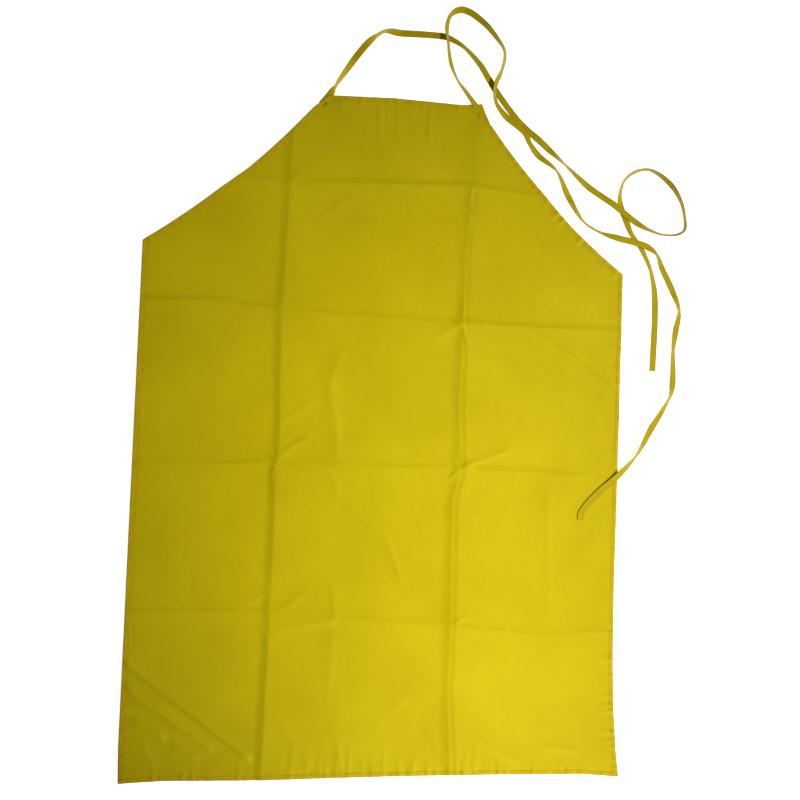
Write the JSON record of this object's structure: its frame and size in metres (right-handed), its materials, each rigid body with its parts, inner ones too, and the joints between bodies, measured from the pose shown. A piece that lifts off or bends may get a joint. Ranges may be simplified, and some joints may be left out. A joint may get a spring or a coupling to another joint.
{
  "type": "lead apron",
  "caption": "Thin full-length bib apron with coated cloth covers round a flexible lead-vinyl core, and neck ties sewn into the bib's corners.",
  "frame": {"origin": "on the surface the apron lies on, under the middle of the apron without its neck ties", "axes": "+X across the apron to the right as seen from its front, +Y from the bottom hem towards the bib, +Z out of the front face"},
  "size_m": [0.8547, 1.2023, 0.0137],
  "materials": {
    "cover_cloth": "coated nylon, semi-gloss, with fold creases",
    "back_cloth": "coated nylon, satin",
    "lead_vinyl": "matt lead-loaded vinyl",
    "tie_tape": "folded and stitched cloth tape",
    "sewing_thread": "spun polyester thread"
  },
  "bodies": {
    "root": {"front_cover": "cover_cloth", "back_cover": "back_cloth", "core_outer_ply": "lead_vinyl", "core_inner_ply": "lead_vinyl", "left_neck_tie": "tie_tape", "right_neck_tie": "tie_tape", "left_tie_tack": "sewing_thread", "right_tie_tack": "sewing_thread", "top_hem_seam": "sewing_thread", "left_armhole_seam": "sewing_thread", "right_armhole_seam": "sewing_thread", "right_side_seam": "sewing_thread", "bottom_hem_seam": "sewing_thread"},
    "left_panel": {"front_cover_left_panel": "cover_cloth", "back_cover_left_panel": "back_cloth", "core_outer_ply_left_panel": "lead_vinyl", "core_inner_ply_left_panel": "lead_vinyl", "left_armhole_seam_left_panel": "sewing_thread", "left_side_seam": "sewing_thread", "bottom_hem_seam_left_panel": "sewing_thread"}
  },
  "joints": [
    {"name": "left_fold", "type": "hinge", "parent": "root", "child": "left_panel", "pos_m": [-0.172, 0, 0.006], "axis": [0, 1, 0], "range_deg": [0, 175]}
  ]
}
